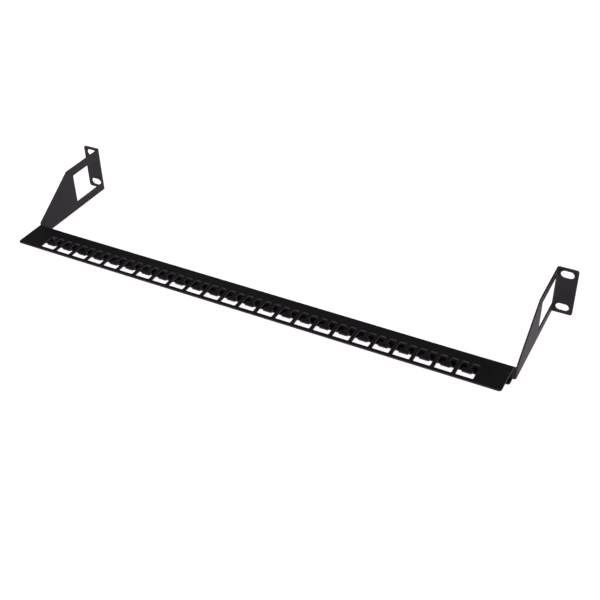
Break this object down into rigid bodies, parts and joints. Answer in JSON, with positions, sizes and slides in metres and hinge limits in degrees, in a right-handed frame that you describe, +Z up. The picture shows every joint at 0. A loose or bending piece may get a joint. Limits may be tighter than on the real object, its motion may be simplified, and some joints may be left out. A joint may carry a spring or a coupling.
{
  "type": "patch panel cable support bar",
  "caption": "Cable support bar for the back of a rack patch panel: slotted ears, windowed arms, and a channel with a T-shaped tie tongue for each port.",
  "frame": {"origin": "centre of the four ear slots, on the face of the ears that bears on the rack rail", "axes": "+X along the bar, +Z up, -Y from the ears towards the bar"},
  "size_m": [0.4826, 0.1273, 0.0436],
  "materials": {
    "powder_coat": "black powder coat, fine texture, satin",
    "rivet_body": "black anodised",
    "rivet_mandrel": "black phosphated, broken end"
  },
  "bodies": {
    "root": {"cable_bar": "powder_coat", "left_bracket": "powder_coat", "right_bracket": "powder_coat", "left_inner_rivet_body": "rivet_body", "left_outer_rivet_body": "rivet_body", "right_inner_rivet_body": "rivet_body", "right_outer_rivet_body": "rivet_body", "left_inner_rivet_mandrel": "rivet_mandrel", "left_outer_rivet_mandrel": "rivet_mandrel", "right_inner_rivet_mandrel": "rivet_mandrel", "right_outer_rivet_mandrel": "rivet_mandrel"}
  },
  "joints": []
}
